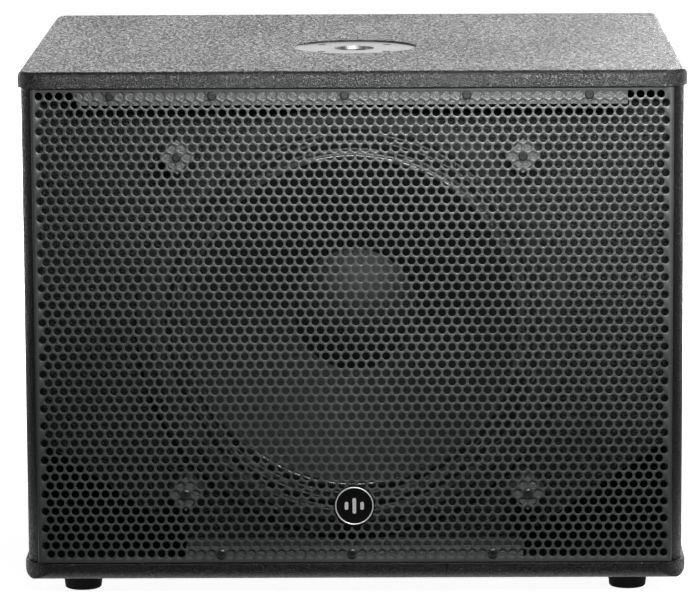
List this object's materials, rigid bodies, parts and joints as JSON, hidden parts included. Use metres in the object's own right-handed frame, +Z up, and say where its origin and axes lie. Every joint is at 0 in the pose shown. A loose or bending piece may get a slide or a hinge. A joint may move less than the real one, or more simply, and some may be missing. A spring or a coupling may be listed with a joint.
{
  "type": "subwoofer cabinet",
  "caption": "Black box-shaped subwoofer with a perforated front grille, a large driver, corner ports, a pole socket in the top, side handles and a plate amplifier at the back.",
  "frame": {"origin": "on the floor under the middle of the cabinet", "axes": "+Z up, front faces -Y, +X to the viewer's right from the front"},
  "size_m": [0.594, 0.5, 0.472],
  "materials": {
    "painted_board": "hard textured black cabinet paint",
    "bare_wood": "bare plywood",
    "wadding": "loose polyester wadding",
    "bright_plate": "bright zinc-plated steel",
    "pole_cup_steel": "dark plated steel",
    "zinc_steel": "zinc-plated steel",
    "rubber": "matt black rubber",
    "grille_steel": "satin dark grey powder coat",
    "black_steel": "black oxide",
    "badge_black": "gloss black",
    "badge_bright": "bright metal",
    "cast_frame": "satin black casting",
    "surround_cloth": "treated corrugated cloth",
    "paper": "black pressed paper pulp",
    "former_film": "amber film",
    "copper": "enamelled copper wire",
    "spider_cloth": "resin-treated cloth",
    "ferrite": "sintered ferrite",
    "black_plastic": "moulded black plastic",
    "amp_black": "black anodised",
    "board_green": "green solder mask",
    "capacitor_sleeve": "shrink sleeve",
    "brass_standoff": "turned brass",
    "rocker_red": "glossy red",
    "socket_black": "moulded black plastic with metal contacts",
    "pot_metal": "plated steel",
    "button_grey": "grey plastic",
    "led_green": "translucent green",
    "cable_black": "black sheath"
  },
  "bodies": {
    "cabinet": {"top_panel": "painted_board", "bottom_panel": "painted_board", "left_panel": "painted_board", "right_panel": "painted_board", "rear_panel": "painted_board", "front_baffle": "painted_board", "left_port_board": "bare_wood", "right_port_board": "bare_wood", "top_batten": "painted_board", "bottom_batten": "painted_board", "grille_standoffs": "painted_board", "cross_brace": "bare_wood", "wadding": "wadding", "pole_plate": "bright_plate", "pole_cup": "pole_cup_steel", "pole_screws": "zinc_steel", "rubber_feet": "rubber", "foot_screws": "zinc_steel", "grille": "grille_steel", "grille_screws": "black_steel", "badge_base": "badge_black", "badge_ring": "badge_bright", "badge_emblem": "badge_bright", "driver_frame": "cast_frame", "driver_gasket": "rubber", "surround": "surround_cloth", "spider": "spider_cloth", "front_plate": "zinc_steel", "magnet_ring": "ferrite", "pole_yoke": "zinc_steel", "driver_terminals": "black_plastic", "driver_bolts": "black_steel", "tee_nuts": "zinc_steel", "left_handle": "black_plastic", "right_handle": "black_plastic", "handle_screws": "zinc_steel", "amp_plate": "amp_black", "heatsink": "amp_black", "amp_cover": "zinc_steel", "amp_board": "board_green", "capacitors": "capacitor_sleeve", "transformer": "copper", "board_standoffs": "brass_standoff", "mains_inlet": "black_plastic", "switch_housing": "black_plastic", "input_sockets": "socket_black", "link_sockets": "socket_black", "potentiometers": "pot_metal", "button_switch": "black_plastic", "indicator_leds": "led_green", "amp_screws": "black_steel", "speaker_cable": "cable_black"},
    "cone_assembly": {"cone": "paper", "dust_cap": "paper", "coil_former": "former_film", "voice_coil": "copper"},
    "level_knob": {"level_knob": "black_plastic"},
    "crossover_knob": {"crossover_knob": "black_plastic"},
    "power_rocker": {"power_rocker": "rocker_red"},
    "phase_button": {"phase_button": "button_grey"}
  },
  "joints": [
    {"name": "cone_travel", "type": "slide", "parent": "cabinet", "child": "cone_assembly", "axis": [0, 1, 0], "range_m": [-0.006, 0.006], "stiffness_N_per_m": 3500, "deforming": ["surround", "spider"]},
    {"name": "level_turn", "type": "hinge", "parent": "cabinet", "child": "level_knob", "pos_m": [0.018, 0.231, 0.255], "axis": [0, 1, 0], "range_deg": [-150, 150]},
    {"name": "crossover_turn", "type": "hinge", "parent": "cabinet", "child": "crossover_knob", "pos_m": [-0.022, 0.231, 0.255], "axis": [0, 1, 0], "range_deg": [-150, 150]},
    {"name": "power_tip", "type": "hinge", "parent": "cabinet", "child": "power_rocker", "pos_m": [-0.092, 0.2295, 0.258], "axis": [-1, 0, 0], "range_deg": [0, 20]},
    {"name": "phase_press", "type": "slide", "parent": "cabinet", "child": "phase_button", "axis": [0, -1, 0], "range_m": [0, 0.0025], "stiffness_N_per_m": 300, "springref_m": -0.001}
  ]
}
